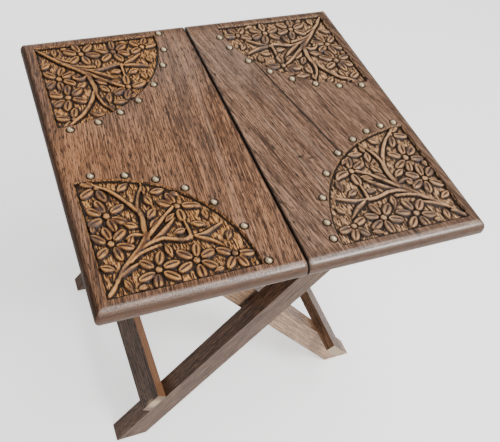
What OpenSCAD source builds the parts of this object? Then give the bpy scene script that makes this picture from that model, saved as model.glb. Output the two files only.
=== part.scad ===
// Folding table stand with a square two-leaf top on crossed legs.
// X runs across the two leaves, Y runs from the front edge to the rear edge,
// Z is up. The origin is on the floor under the middle of the top.

/* [Top] */
// Width of the square top across both leaves
top_w = 381; // [320:1:480]
// Depth of the top from its front edge to its rear edge
top_d = 381; // [320:1:480]
// Height of the top surface above the floor
top_h = 370; // [300:1:460]
// Thickness of the leaves
top_t = 20; // [17:0.5:26]
// Radius of the rounding on the outer edges
edge_r = 9; // [4:0.5:13]
// Gap between the two leaves
seam_gap = 2; // [0.6:0.1:3]
// Bevel on the seam edges
seam_bevel = 1; // [0.5:0.1:1.5]

/* [Carving] */
// Distance from the outer edges to the centre of each carved quarter circle
carve_inset = 16; // [10:0.5:22]
// Plain band between the carving and the seam
plain_band = 40.5; // [34:0.5:70]
// Depth of the sunken ground
carve_depth = 3.25; // [1:0.25:4]

/* [Studs] */
// Diameter of a stud head
stud_d = 6.4; // [4:0.2:8]
// Height of a stud's dome above the surface
stud_rise = 2.4; // [0.6:0.1:3]
// Depth of the seat that a stud head sits in
stud_seat = 1; // [0.4:0.1:1.5]
// Clear ring around a stud head
stud_ring = 1.3; // [0.3:0.1:1.5]
// Distance from the carving's edge to the line of studs
stud_offset = 7; // [6:0.5:12]
// Diameter of a stud's shank
stud_shank_d = 2; // [1.4:0.1:3]
// Length of a stud's shank
stud_shank_l = 8; // [5:0.5:11]

/* [Legs] */
// Distance between the outer tips of the feet
foot_spread = 337; // [290:1:380]
// Angle of the legs above the floor
leg_angle = 52.3; // [48:0.1:56]
// Width of a leg, seen from the front
leg_w = 29; // [24:0.5:36]
// Thickness of a leg, from front to rear
leg_t = 22; // [18:0.5:28]
// Width of the outer frame over its legs
outer_frame_w = 260; // [220:1:275]
// Gap between the outer and the inner legs
frame_gap = 5.5; // [3:0.5:8]

/* [Stretchers] */
// Width of a stretcher, along the leg
slat_w = 31; // [24:1:45]
// Thickness of a stretcher
slat_t = 12; // [8:0.5:16]
// Distance from an outer foot's tip to its stretcher, along the leg
outer_slat_from_foot = 69; // [40:1:110]
// Distance from an inner foot's tip to its stretcher, along the leg
inner_slat_from_foot = 72; // [40:1:110]

/* [Cleats] */
// Thickness of a cleat, from front to rear
cleat_t = 20; // [16:0.5:26]
// Length of a cleat along the leaf
cleat_l = 68; // [60:1:80]
// Height of a cleat's ears
cleat_ear_h = 12; // [10:0.5:14]
// Radius of a cleat's round boss around the pivot
cleat_boss_r = 13; // [10:0.5:13.5]
// Distance from the underside of the leaf to the leg pivot
pivot_drop = 16; // [16:0.25:20]
// Room above the round top of a leg
leg_top_gap = 1.5; // [1:0.25:3]
// Thickness of the washer between a leg and its cleat
washer_t = 1; // [0.6:0.1:2]
// Diameter of the leg washers
washer_d = 20; // [14:0.5:24]

/* [Pivots] */
// Diameter of the pins that hang the legs from the leaves
leg_pin_d = 6; // [5:0.5:8]
// Depth of a leg pin in its leg
leg_pin_depth = 16; // [12:0.5:18]
// Diameter of the cross bolts
cross_bolt_d = 8; // [6:0.5:10]
// Diameter of the threaded inserts for the cross bolts
insert_d = 12; // [11:0.5:14]
// Depth of the threaded inserts
insert_depth = 15; // [12:0.5:17]
// Diameter of the spacers between the frames
spacer_d = 20; // [16:0.5:26]
// Thickness of the pin and bolt heads
head_t = 4; // [3:0.25:6]

/* [Hinges] */
// Length of each hinge under the seam
hinge_l = 50; // [40:1:50]
// Width of a hinge plate
hinge_w = 28; // [22:1:34]
// Thickness of a hinge plate
hinge_t = 2; // [1.5:0.1:2.5]
// Radius of the hinge knuckles
knuckle_r = 3; // [2.6:0.1:3.6]
// Diameter of the hinge pins
hinge_pin_d = 3; // [2:0.1:3.4]

/* [Screws] */
// Diameter of the wood screws
screw_d = 3; // [2.4:0.1:3.6]
// Diameter of the wood screws' heads
screw_head_d = 6; // [5:0.1:7]
// Depth of the screws in a leaf
screw_bite = 12; // [8:0.5:14]
// Diameter of the stretcher nails
nail_d = 2; // [1.6:0.1:2.6]
// Diameter of the stretcher nails' heads
nail_head_d = 4; // [3:0.1:5]
// Depth of the stretcher nails in a leg
nail_bite = 14; // [10:0.5:20]

/* [Fits] */
// Radial clearance of pins, bolts, screws and nails in their holes
fit = 0.05; // [0.02:0.01:0.1]
// Clearance between pieces that move past each other
gap = 0.3; // [0.2:0.05:0.4]

/* [Hidden] */
$fn = 64;

// Angles of the studs about each quarter circle's centre, from the seam round to the side
near_left_angles = [0, 18, 34, 47, 59, 71, 84];
far_left_angles = [-1, 12, 24, 39, 52, 63, 74, 86];
near_right_angles = [3, 11, 24, 38, 52, 64, 73, 81, 88];
far_right_angles = [8, 17, 30, 42, 53, 64, 75, 86];

under_z = top_h - top_t;
round_r = min(edge_r, top_t / 2 - 0.5);
carve_r = min(top_w, top_d) / 2 - carve_inset - plain_band;
stud_line_r = carve_r + stud_offset;
dome_r = (pow(stud_d / 2, 2) + pow(stud_rise, 2)) / (2 * stud_rise);

// Crossed legs: each leg runs from its foot through the crossing to its pivot under a leaf
foot_l = leg_w / sin(leg_angle);
cross_z = (foot_spread - foot_l) / 2 * tan(leg_angle);
pivot_z = under_z - max(pivot_drop, leg_w / 2 + leg_top_gap);
pivot_x = (pivot_z - cross_z) / tan(leg_angle);
outer_y = outer_frame_w / 2 - leg_t;
inner_y = outer_y - frame_gap - leg_t;
pivot_play = washer_t + 2 * gap;
right_cleat_y = outer_y + leg_t + pivot_play;
left_cleat_y = inner_y - pivot_play - cleat_t;
boss_r = min(cleat_boss_r, under_z - pivot_z - gap * 10);
ear_screw_x = (cleat_l / 2 + cleat_boss_r) / 2;

// Seam hinges: the pin's axis hangs just below the underside of the leaves.
// Each hinge sits midway between the planes of the left and right cleats, clear of both.
hinge_y = (left_cleat_y + cleat_t + right_cleat_y) / 2;
seam_axis_z = under_z - knuckle_r - 0.4;
knuckle_count = 5;
knuckle_l = hinge_l / knuckle_count;
notch_r = knuckle_r + 0.4;
hinge_screw_x = (hinge_w + notch_r) / 2;
hinge_screw_pitch = hinge_l / 3;

// Moves a piece of the front half to the rear half
module at_rear() { mirror([0, 1, 0]) children(); }

// Draws a shape given in the XZ plane as a plate that starts at y and is t thick
module plate_xz(y, t) {
    translate([0, y + t, 0]) rotate([90, 0, 0]) linear_extrude(height = t) children();
}

// Local axes on a leg's outer face: X runs up the leg from the foot's tip, Z points outwards
module on_leg_face() {
    translate([-foot_spread / 2, 0, 0]) rotate([0, -leg_angle, 0]) children();
}

// A round bar along Y from y to y + l
module bar_y(x, y, z, r, l) {
    translate([x, y + l, z]) rotate([90, 0, 0]) cylinder(r = r, h = l);
}

// Section through a leaf with one rounded end at the origin, running to +X
module rounded_section(len) {
    translate([round_r, 0]) square([len - round_r, top_t]);
    translate([0, round_r]) square([round_r, top_t - 2 * round_r]);
    for (z = [round_r, top_t - round_r]) translate([round_r, z]) circle(r = round_r);
}

// Section of the right leaf in the XZ plane, with bevels along the seam
module leaf_section() {
    difference() {
        translate([top_w / 2, under_z]) mirror([1, 0]) rounded_section(top_w / 2 - seam_gap / 2);
        for (z = [under_z, top_h])
            translate([seam_gap / 2, z]) rotate(45) square(seam_bevel * sqrt(2), center = true);
    }
}

// Section of the whole top in the YZ plane
module depth_section() {
    for (m = [0, 1])
        mirror([m, 0]) translate([-top_d / 2, under_z]) rounded_section(top_d / 2 + m);
}

// Plain right leaf with rounded outer edges that meet in mitres at the corners
module leaf_blank() {
    intersection() {
        plate_xz(-top_d, 2 * top_d) leaf_section();
        rotate([90, 0, 90]) linear_extrude(height = top_w) depth_section();
    }
}

// Sunken quarter circle in the front right corner
module carved_ground() {
    translate([top_w / 2 - carve_inset, -top_d / 2 + carve_inset, top_h - carve_depth])
        linear_extrude(height = carve_depth + 1)
            intersection() {
                circle(r = carve_r);
                translate([-carve_r, 0]) square(carve_r);
            }
}

// Puts its children at each stud of the front right corner, at the height of the top
module at_studs(angles) {
    for (a = angles)
        translate([top_w / 2 - carve_inset - stud_line_r * cos(a),
                   -top_d / 2 + carve_inset + stud_line_r * sin(a), top_h])
            children();
}

module stud_hole() {
    translate([0, 0, -stud_seat]) cylinder(r = stud_d / 2 + stud_ring, h = stud_seat + 1);
    translate([0, 0, -stud_seat - stud_shank_l - fit])
        cylinder(r = stud_shank_d / 2 + fit, h = stud_shank_l + 1);
}

module stud() {
    intersection() {
        translate([0, 0, stud_rise - dome_r]) sphere(r = dome_r);
        cylinder(r = stud_d, h = stud_rise + 1);
    }
    translate([0, 0, -stud_seat]) cylinder(r = stud_d / 2, h = stud_seat);
    translate([0, 0, -stud_seat - stud_shank_l]) cylinder(r = stud_shank_d / 2, h = stud_shank_l);
}

// Screw holes of one cleat in the leaf above it; the cleat starts at y
module cleat_leaf_holes(y) {
    for (s = [-1, 1])
        translate([pivot_x + s * ear_screw_x, y + cleat_t / 2, under_z - 1])
            cylinder(r = screw_d / 2 + fit, h = screw_bite + 1 + fit);
}

// Puts its children at the three screws of a right hinge plate, on the underside
module at_hinge_screws() {
    for (i = [-1, 0, 1]) translate([hinge_screw_x, -hinge_y + i * hinge_screw_pitch, under_z]) children();
}

module hinge_leaf_holes() {
    at_hinge_screws() translate([0, 0, -1]) cylinder(r = screw_d / 2 + fit, h = screw_bite + 1 + fit);
}

// A right-hand leaf; cleat_y is where its front cleat's screws are
module leaf(near_angles, far_angles, cleat_y) {
    difference() {
        leaf_blank();
        carved_ground();
        at_rear() carved_ground();
        at_studs(near_angles) stud_hole();
        at_rear() at_studs(far_angles) stud_hole();
        cleat_leaf_holes(cleat_y);
        at_rear() cleat_leaf_holes(cleat_y);
        hinge_leaf_holes();
        at_rear() hinge_leaf_holes();
    }
}

module leaf_left() {
    color([0.48, 0.31, 0.18])
        mirror([1, 0, 0]) leaf(near_left_angles, far_left_angles, -left_cleat_y - cleat_t);
}

module leaf_right() {
    color([0.42, 0.27, 0.17]) leaf(near_right_angles, far_right_angles, -right_cleat_y - cleat_t);
}

module studs_near_left() { color([0.78, 0.70, 0.52]) mirror([1, 0, 0]) at_studs(near_left_angles) stud(); }
module studs_far_left() {
    color([0.78, 0.70, 0.52]) mirror([1, 0, 0]) at_rear() at_studs(far_left_angles) stud();
}
module studs_near_right() { color([0.78, 0.70, 0.52]) at_studs(near_right_angles) stud(); }
module studs_far_right() { color([0.78, 0.70, 0.52]) at_rear() at_studs(far_right_angles) stud(); }

// Outline of a right cleat: two low ears and a round boss about the pivot
module cleat_section() {
    translate([pivot_x - cleat_l / 2, under_z - cleat_ear_h]) square([cleat_l, cleat_ear_h]);
    translate([pivot_x - boss_r, pivot_z]) square([2 * boss_r, under_z - pivot_z]);
    translate([pivot_x, pivot_z]) circle(r = boss_r);
}

// A right cleat that starts at y
module cleat(y) {
    difference() {
        plate_xz(y, cleat_t) cleat_section();
        bar_y(pivot_x, y - 1, pivot_z, leg_pin_d / 2 + fit, cleat_t + 2);
        for (s = [-1, 1])
            translate([pivot_x + s * ear_screw_x, y + cleat_t / 2, under_z - cleat_ear_h])
                screw_hole(cleat_ear_h);
    }
}

// A countersunk screw that goes up through wall and on into the leaf
module screw(wall) {
    cone_h = (screw_head_d - screw_d) / 2;
    cylinder(r1 = screw_head_d / 2, r2 = screw_d / 2, h = cone_h);
    cylinder(r = screw_d / 2, h = wall + screw_bite);
}

module screw_hole(wall) {
    cone_h = (screw_head_d - screw_d) / 2;
    cylinder(r1 = screw_head_d / 2 + fit, r2 = screw_d / 2 + fit, h = cone_h);
    translate([0, 0, -1]) cylinder(r = screw_d / 2 + fit, h = wall + 2);
}

module cleat_screws(y) {
    for (s = [-1, 1])
        translate([pivot_x + s * ear_screw_x, y + cleat_t / 2, under_z - cleat_ear_h]) screw(cleat_ear_h);
}

module right_cleat_front() { color([0.40, 0.26, 0.16]) cleat(-right_cleat_y - cleat_t); }
module right_cleat_rear() { color([0.40, 0.26, 0.16]) at_rear() cleat(-right_cleat_y - cleat_t); }
module left_cleat_front() { color([0.40, 0.26, 0.16]) mirror([1, 0, 0]) cleat(-left_cleat_y - cleat_t); }
module left_cleat_rear() {
    color([0.40, 0.26, 0.16]) mirror([1, 0, 0]) at_rear() cleat(-left_cleat_y - cleat_t);
}

module right_cleat_screws() {
    color("dimgray") {
        cleat_screws(-right_cleat_y - cleat_t);
        at_rear() cleat_screws(-right_cleat_y - cleat_t);
    }
}

module left_cleat_screws() {
    color("dimgray") mirror([1, 0, 0]) {
        cleat_screws(-left_cleat_y - cleat_t);
        at_rear() cleat_screws(-left_cleat_y - cleat_t);
    }
}

// Knuckle number i of the front hinge as a round bar of radius r; e lengthens it at both ends
module knuckle(i, r, e) {
    bar_y(0, -hinge_y - hinge_l / 2 + i * knuckle_l - e, seam_axis_z, r, knuckle_l + 2 * e);
}

// A right-hand plate of the front hinge that carries the knuckles in own
module hinge_plate(own) {
    difference() {
        union() {
            translate([0, -hinge_y - hinge_l / 2, under_z - hinge_t]) cube([hinge_w, hinge_l, hinge_t]);
            for (i = own) knuckle(i, knuckle_r, -gap / 2);
        }
        for (i = [0:knuckle_count - 1])
            if (len(search(i, own)) == 0) knuckle(i, notch_r, 0);
        translate([0, -hinge_y - hinge_l / 2 + gap / 2, 0]) hinge_pin_bore();
        at_hinge_screws() translate([0, 0, -hinge_t]) screw_hole(hinge_t);
    }
}

module hinge_pin_bore() {
    bar_y(0, -1, seam_axis_z, hinge_pin_d / 2 + fit, hinge_l + 2);
}

left_knuckles = [0, 2, 4];
right_knuckles = [1, 3];

module right_hinge_plate_front() { color("darkgoldenrod") hinge_plate(right_knuckles); }
module right_hinge_plate_rear() { color("darkgoldenrod") at_rear() hinge_plate(right_knuckles); }
module left_hinge_plate_front() { color("darkgoldenrod") mirror([1, 0, 0]) hinge_plate(left_knuckles); }
module left_hinge_plate_rear() {
    color("darkgoldenrod") mirror([1, 0, 0]) at_rear() hinge_plate(left_knuckles);
}

module hinge_pin() {
    bar_y(0, -hinge_y - hinge_l / 2 + gap / 2, seam_axis_z, hinge_pin_d / 2, hinge_l - gap);
}

module hinge_pin_front() { color("gray") hinge_pin(); }
module hinge_pin_rear() { color("gray") at_rear() hinge_pin(); }

module hinge_screws() {
    at_hinge_screws() translate([0, 0, -hinge_t]) screw(hinge_t);
    at_rear() at_hinge_screws() translate([0, 0, -hinge_t]) screw(hinge_t);
}

module right_hinge_screws() { color("dimgray") hinge_screws(); }
module left_hinge_screws() { color("dimgray") mirror([1, 0, 0]) hinge_screws(); }

// Outline of an outer leg: a level foot at the lower left, a round top at the pivot
module leg_section() {
    side = [-sin(leg_angle), cos(leg_angle)] * leg_w / 2;
    pivot = [pivot_x, pivot_z];
    foot = [-foot_spread / 2, 0];
    polygon([foot, foot + [foot_l, 0], pivot - side, pivot + side]);
    translate(pivot) circle(r = leg_w / 2);
}

// Puts its children at the two nails of a front leg that starts at y, on the outer face of a
// stretcher that starts at x along the leg
module at_nails(x, y) {
    for (s = [-1, 1])
        on_leg_face()
            translate([x + slat_w / 2 + s * slat_w / 4, y + leg_t / 2 + s * leg_t / 8, slat_t]) children();
}

module nail() {
    translate([0, 0, -nail_head_d / 4]) cylinder(r = nail_head_d / 2, h = nail_head_d / 4);
    translate([0, 0, -slat_t - nail_bite]) cylinder(r = nail_d / 2, h = slat_t + nail_bite);
}

module nail_hole() {
    translate([0, 0, -nail_head_d / 4]) cylinder(r = nail_head_d / 2 + fit, h = nail_head_d / 4 + 1);
    translate([0, 0, -slat_t - nail_bite - fit]) cylinder(r = nail_d / 2 + fit, h = slat_t + nail_bite + 1);
}

// A front leg whose outside face is at -y, with its pin hole, its crossing hole and its nail holes
module outer_leg(y) {
    difference() {
        plate_xz(-y, leg_t) leg_section();
        bar_y(pivot_x, -y - 1, pivot_z, leg_pin_d / 2 + fit, leg_pin_depth + 1);
        bar_y(0, -outer_y - insert_depth, cross_z, insert_d / 2 + fit, insert_depth + 1);
        at_nails(outer_slat_from_foot, -y) nail_hole();
    }
}

module inner_leg(y) {
    difference() {
        plate_xz(-y, leg_t) leg_section();
        bar_y(pivot_x, -inner_y - leg_pin_depth, pivot_z, leg_pin_d / 2 + fit, leg_pin_depth + 1);
        bar_y(0, -y - 1, cross_z, cross_bolt_d / 2 + fit, leg_t + 2);
        at_nails(inner_slat_from_foot, -y) nail_hole();
    }
}

// A stretcher as wide as the outer frame, nailed to two legs whose outside faces are at -y and y
module stretcher(x, y) {
    difference() {
        on_leg_face() translate([x, -outer_frame_w / 2, 0]) cube([slat_w, outer_frame_w, slat_t]);
        at_nails(x, -y) nail_hole();
        at_rear() at_nails(x, -y) nail_hole();
    }
}

module stretcher_nails(x, y) {
    at_nails(x, -y) nail();
    at_rear() at_nails(x, -y) nail();
}

module outer_leg_front() { color([0.45, 0.32, 0.24]) outer_leg(outer_y + leg_t); }
module outer_leg_rear() { color([0.45, 0.32, 0.24]) at_rear() outer_leg(outer_y + leg_t); }
module outer_stretcher() { color([0.36, 0.25, 0.18]) stretcher(outer_slat_from_foot, outer_y + leg_t); }
module outer_stretcher_nails() { color("dimgray") stretcher_nails(outer_slat_from_foot, outer_y + leg_t); }

module inner_leg_front() { color([0.50, 0.37, 0.28]) mirror([1, 0, 0]) inner_leg(inner_y + leg_t); }
module inner_leg_rear() {
    color([0.50, 0.37, 0.28]) mirror([1, 0, 0]) at_rear() inner_leg(inner_y + leg_t);
}
module inner_stretcher() {
    color([0.52, 0.40, 0.31]) mirror([1, 0, 0]) stretcher(inner_slat_from_foot, inner_y + leg_t);
}
module inner_stretcher_nails() {
    color("dimgray") mirror([1, 0, 0]) stretcher_nails(inner_slat_from_foot, inner_y + leg_t);
}

// Headed pin from the outside of a right cleat into the outer leg
module outer_leg_pin() {
    y = -right_cleat_y - cleat_t - gap;
    bar_y(pivot_x, y - head_t, pivot_z, leg_pin_d, head_t);
    bar_y(pivot_x, y, pivot_z, leg_pin_d / 2, -outer_y - leg_t + leg_pin_depth - y);
}

// Headed pin from the inside of a left cleat into the inner leg, before mirroring
module inner_leg_pin() {
    y = -left_cleat_y + gap;
    bar_y(pivot_x, y, pivot_z, leg_pin_d, head_t);
    bar_y(pivot_x, -inner_y - leg_pin_depth, pivot_z, leg_pin_d / 2, y + inner_y + leg_pin_depth);
}

module outer_leg_pin_front() { color("dimgray") outer_leg_pin(); }
module outer_leg_pin_rear() { color("dimgray") at_rear() outer_leg_pin(); }
module inner_leg_pin_front() { color("dimgray") mirror([1, 0, 0]) inner_leg_pin(); }
module inner_leg_pin_rear() { color("dimgray") mirror([1, 0, 0]) at_rear() inner_leg_pin(); }

// A washer on a leg pin, starting at y
module leg_washer(y) {
    difference() {
        bar_y(pivot_x, y, pivot_z, washer_d / 2, washer_t);
        bar_y(pivot_x, y - 1, pivot_z, leg_pin_d / 2 + fit, washer_t + 2);
    }
}

module outer_leg_washers() {
    color("gray") {
        leg_washer(-outer_y - leg_t - gap - washer_t);
        at_rear() leg_washer(-outer_y - leg_t - gap - washer_t);
    }
}

module inner_leg_washers() {
    color("gray") mirror([1, 0, 0]) {
        leg_washer(-inner_y + gap);
        at_rear() leg_washer(-inner_y + gap);
    }
}

// Hexagon-headed bolt from the inside of the inner leg through the spacer
module cross_bolt() {
    bar_y(0, -outer_y + gap, cross_z, cross_bolt_d / 2, outer_y - inner_y - gap);
    translate([0, -inner_y + head_t, cross_z]) rotate([90, 0, 0])
        cylinder(r = cross_bolt_d * 0.9, h = head_t, $fn = 6);
}

// Threaded insert that takes the bolt's end, set in the inside face of the outer leg
module cross_insert() {
    difference() {
        bar_y(0, -outer_y - insert_depth + fit, cross_z, insert_d / 2, insert_depth - fit);
        bar_y(0, -outer_y - insert_depth + 2, cross_z, cross_bolt_d / 2 + fit, insert_depth);
    }
}

module cross_spacer() {
    difference() {
        bar_y(0, -outer_y + gap, cross_z, spacer_d / 2, frame_gap - gap);
        bar_y(0, -outer_y, cross_z, cross_bolt_d / 2 + fit, frame_gap + 1);
    }
}

module cross_bolt_front() { color("dimgray") cross_bolt(); }
module cross_bolt_rear() { color("dimgray") at_rear() cross_bolt(); }
module cross_insert_front() { color("darkgoldenrod") cross_insert(); }
module cross_insert_rear() { color("darkgoldenrod") at_rear() cross_insert(); }
module cross_spacers() {
    color("gray") {
        cross_spacer();
        at_rear() cross_spacer();
    }
}

leaf_left();
leaf_right();
studs_near_left();
studs_far_left();
studs_near_right();
studs_far_right();
left_cleat_front();
left_cleat_rear();
right_cleat_front();
right_cleat_rear();
left_cleat_screws();
right_cleat_screws();
left_hinge_plate_front();
left_hinge_plate_rear();
right_hinge_plate_front();
right_hinge_plate_rear();
hinge_pin_front();
hinge_pin_rear();
left_hinge_screws();
right_hinge_screws();
outer_leg_front();
outer_leg_rear();
outer_stretcher();
outer_stretcher_nails();
outer_leg_pin_front();
outer_leg_pin_rear();
outer_leg_washers();
cross_insert_front();
cross_insert_rear();
inner_leg_front();
inner_leg_rear();
inner_stretcher();
inner_stretcher_nails();
inner_leg_pin_front();
inner_leg_pin_rear();
inner_leg_washers();
cross_bolt_front();
cross_bolt_rear();
cross_spacers();
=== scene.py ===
import math

import bpy
import numpy as np
from mathutils import Matrix, Vector


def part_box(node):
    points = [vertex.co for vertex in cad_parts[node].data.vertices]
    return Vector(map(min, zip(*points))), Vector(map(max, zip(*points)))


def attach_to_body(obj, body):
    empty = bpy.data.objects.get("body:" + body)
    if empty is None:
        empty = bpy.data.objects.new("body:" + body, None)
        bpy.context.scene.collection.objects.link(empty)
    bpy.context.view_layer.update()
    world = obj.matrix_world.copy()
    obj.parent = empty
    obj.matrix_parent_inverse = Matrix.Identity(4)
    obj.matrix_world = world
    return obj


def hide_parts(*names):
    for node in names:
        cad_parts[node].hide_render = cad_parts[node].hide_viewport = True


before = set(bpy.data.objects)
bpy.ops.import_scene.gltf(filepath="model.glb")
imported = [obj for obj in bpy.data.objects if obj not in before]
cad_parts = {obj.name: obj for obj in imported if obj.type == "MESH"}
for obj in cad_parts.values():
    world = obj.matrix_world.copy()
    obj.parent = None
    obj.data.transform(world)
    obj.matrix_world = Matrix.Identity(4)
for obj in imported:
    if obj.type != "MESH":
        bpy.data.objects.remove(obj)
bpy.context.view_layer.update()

MM = 0.001

# Camera: place in metres, angles in degrees, lens in millimetres
CAMERA_AT = (-0.2357, -0.5113, 0.8505)
CAMERA_AZIMUTH = 27.78
CAMERA_ELEVATION = 47.89
CAMERA_ROLL = 9.46
CAMERA_LENS = 50.79
CAMERA_SENSOR = 36.0

# Leaf, in millimetres. Distances a and b run inwards from the two outer edges of a corner.
NOSE_R = 9.0
NOSE_STEPS = 10
CORNER_R = 4.0
FINE_TO = 162.0
FINE_STEP = 0.85
COARSE_STEP = 3.0
SEAM_BEVEL = 1.0
SURFACE_WAVE = 0.06
LEAF_SHARP = 46
LEAF_SEEDS = {"left": (11, 23), "right": (37, 41)}

# Carved field, in millimetres
FIELD_EDGE = 13.5
FIELD_CENTRE = 16.0
FIELD_R = 135.5
FIELD_DEPTH = 3.25
FIELD_WALL = 1.3
RELIEF = 3.1
CHISEL_MARK = 0.22
CHISEL_SWELL = 0.12
HOLLOW_CELLS = 3
HOLLOW_SPAN = 3.0

# Studs, in millimetres: the profile is (radius, height) from the seat up.
# Angles are in degrees round the centre of a corner's arc: 0 along the front or rear edge, 90 along the side.
STUD_LINE_R = 141.0
SEAT_R = 4.5
SEAT_DEPTH = 1.0
STUD_SIDES = 28
STUD_CROWN = 2.4
STUD_PROFILE = ((3.15, -0.8), (3.2, -0.2), (3.2, 0.2), (3.05, 0.8),
                (2.75, 1.35), (2.25, 1.85), (1.6, 2.17), (0.8, 2.35))
STUD_DENT = 0.025
STUD_SHARP = 50
STUD_ANGLES = {
    "near_left": (0, 18, 34, 47, 59, 71, 84),
    "far_left": (-1, 12, 24, 39, 52, 63, 74, 86),
    "near_right": (3, 11, 24, 38, 52, 64, 73, 81, 88),
    "far_right": (8, 17, 30, 42, 53, 64, 75, 86),
}

# Legs, in degrees off the vertical
LEG_LEAN = 37.7

# Rounding of the edges of legs, stretchers and cleats, in millimetres
EDGE_SOFT = 1.1

# Half the floor's width, in metres
FLOOR_HALF = 60.0

# Motif of one corner, in millimetres and degrees.
# Flowers are (a, b, reach of petals, directions of petals).
FLOWERS = (
    (30, 72, 12.6, (142, 222, 287, -28, 38, 94)),
    (34, 105, 12.8, (101, 144, 203, 281, 33, -37)),
    (62, 33, 12.8, (72, 134, 202, -45, 17, 255)),
    (97, 35, 12.4, (74, 137, 203, 270, -31, 23)),
    (99, 100, 12.0, (270, 153, 104, -7)),
    (131, 33, 9.5, (150, 232, 290, 352)),
    (33, 141, 11.0, (135, 207, -75)),
)
PETAL_L = 15.2
PETAL_W = 9.4
BUTTON_R = 3.2
BUTTON_GAP = 1.0
VEIN_DEPTH = 0.95
VEIN_HALF = 0.62
RIB_HEIGHT = 0.16
RIB_TURN = 2.6

# How far the hand carving strays in each corner: stems, blades, leaves and flowers in millimetres,
# sizes as a share
STEM_SHIFT = 0.7
BLADE_SHIFT = 0.6
LEAF_SHIFT = 1
FLOWER_SHIFT = 0.8
SIZE_SHIFT = 0.08

# Leaves are (a, b, length, width, direction)
LEAVES = (
    (57, 137, 14, 8.4, 35),
    (73.5, 129, 12, 6.0, 84),
    (74, 114.7, 15, 8.6, 100),
    (85, 123, 15, 8.4, 0),
    (87.5, 107, 14, 8.0, -40),
    (73, 97, 16, 8.8, 50),
    (73.5, 86, 15, 7.2, 43),
    (88, 88.6, 13, 7.0, 30),
    (52.5, 87.5, 14, 8.6, -30),
    (76.7, 52.5, 15, 8.2, 100),
    (92.5, 71.5, 14, 7.4, 5),
    (111, 73.5, 14, 8.2, -25),
    (121, 84, 13, 8.0, 85),
    (115, 97, 12, 7.4, 150),
    (21, 47.2, 15, 8.0, -30),
    (33.3, 24.2, 14, 7.4, 100),
    (134, 56, 13, 7.4, 60),
    (47, 72, 12, 7.0, 60),
    (18.5, 93, 9, 6.0, 80),
    (46, 20, 9, 5.6, 20),
    (112, 20, 10, 5.6, 15),
    (100, 116, 10, 6.0, -35),
)

# Stems are (half width at the start, half width at the end, points)
STEMS = (
    (1.3, 3.2, ((14, 15.5), (25, 29), (33, 39), (43, 50.5), (53, 60.5), (62, 71))),
    (3.0, 2.6, ((62, 69), (63, 82), (64, 94), (62.5, 104))),
    (2.6, 1.4, ((62.5, 102), (57, 113), (50, 125), (42.5, 135), (35, 141), (26, 149))),
    (2.2, 0.8, ((62.5, 104), (64.5, 114), (67.5, 123), (72, 132), (74, 137))),
    (2.5, 1.3, ((62, 70), (75, 83), (87, 94), (95, 99.5))),
    (2.2, 2.0, ((55, 59), (64, 64.5), (75, 65.5), (86, 62.5), (95, 60), (101, 62))),
    (2.0, 1.2, ((100, 61), (100, 70), (100, 80))),
    (1.8, 1.2, ((41, 48), (50, 54), (60, 57.5), (72, 59))),
)

# Blades are long ridged leaves: (half width in the middle, points)
BLADES = (
    (2.8, ((64, 64.5), (73, 70), (83, 77.5), (92, 87))),
    (2.6, ((103, 62), (112, 62.5), (122, 65.5), (134, 71))),
    (2.8, ((103, 61), (110, 57), (117, 52), (126, 44))),
    (2.5, ((25, 31), (37, 39.5), (48, 45))),
    (1.6, ((15, 15.5), (20, 21.5), (26, 27))),
    (2.4, ((62, 71), (56, 76), (50, 77), (44, 74))),
)


# Directions that faces look in, each in its piece's own frame; faces that look that way get painted light or
# painted shade
FRONT = (0.0, -1.0, 0.0)
AWAY_FROM_LIGHT = (0.76, 0.65, 0.0)
STUD_SHADE = (0.68, 0.56, 0.47)
UP_OUTER_LEG = (math.sin(math.radians(LEG_LEAN)), 0.0, math.cos(math.radians(LEG_LEAN)))
UP_INNER_LEG = (-math.sin(math.radians(LEG_LEAN)), 0.0, math.cos(math.radians(LEG_LEAN)))

# Colours of the carving on each leaf; the near-black one darkens the ground's speckle and is also painted
# shade in the carving's recesses, the stud seats and on faces turned from the light
GOLD_LEFT = {"dark_and_shade": (0.007, 0.003, 0.0014), "brown": (0.050, 0.018, 0.006), "tan": (0.155, 0.060, 0.018),
             "gold": (0.60, 0.295, 0.100), "dusk": (0.060, 0.036, 0.033)}
GOLD_RIGHT = {"dark_and_shade": (0.008, 0.004, 0.0022), "brown": (0.052, 0.023, 0.011), "tan": (0.145, 0.072, 0.034),
              "gold": (0.56, 0.325, 0.165), "dusk": (0.060, 0.040, 0.036)}

# Dark, middle, light and grey tone of each wood
TONES = {
    "top_left": ((0.060, 0.025, 0.011), (0.155, 0.070, 0.033), (0.28, 0.138, 0.072), (0.21, 0.118, 0.076)),
    "top_right": ((0.055, 0.026, 0.014), (0.145, 0.074, 0.043), (0.255, 0.144, 0.089), (0.21, 0.128, 0.086)),
    "outer_frame_wood": ((0.022, 0.009, 0.004), (0.062, 0.027, 0.013),
                         (0.130, 0.066, 0.036), (0.115, 0.064, 0.038)),
    "inner_frame_wood": ((0.085, 0.038, 0.018), (0.200, 0.102, 0.054),
                         (0.34, 0.195, 0.115), (0.30, 0.185, 0.12)),
    "outer_slat_wood": ((0.026, 0.012, 0.006), (0.060, 0.030, 0.017),
                        (0.105, 0.058, 0.036), (0.10, 0.060, 0.040)),
    "inner_slat_wood": ((0.040, 0.017, 0.008), (0.100, 0.048, 0.024),
                        (0.17, 0.09, 0.05), (0.15, 0.088, 0.054)),
    "cleat_wood": ((0.045, 0.022, 0.012), (0.095, 0.050, 0.029), (0.16, 0.09, 0.055), (0.14, 0.085, 0.06)),
}

# Grime in the seam, as one of the lines of a top: place, slant, width, colour, amount, broken
SEAM_GRIME = ((0.0, 0.0), 0.0, 0.0032, (0.012, 0.007, 0.005), 0.9, False)


def smooth(low, high, value):
    """Smooth step from 0 at low to 1 at high."""
    t = np.clip((value - low) / (high - low), 0.0, 1.0)
    return t * t * (3.0 - 2.0 * t)


# ---------------------------------------------------------------- carving

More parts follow.
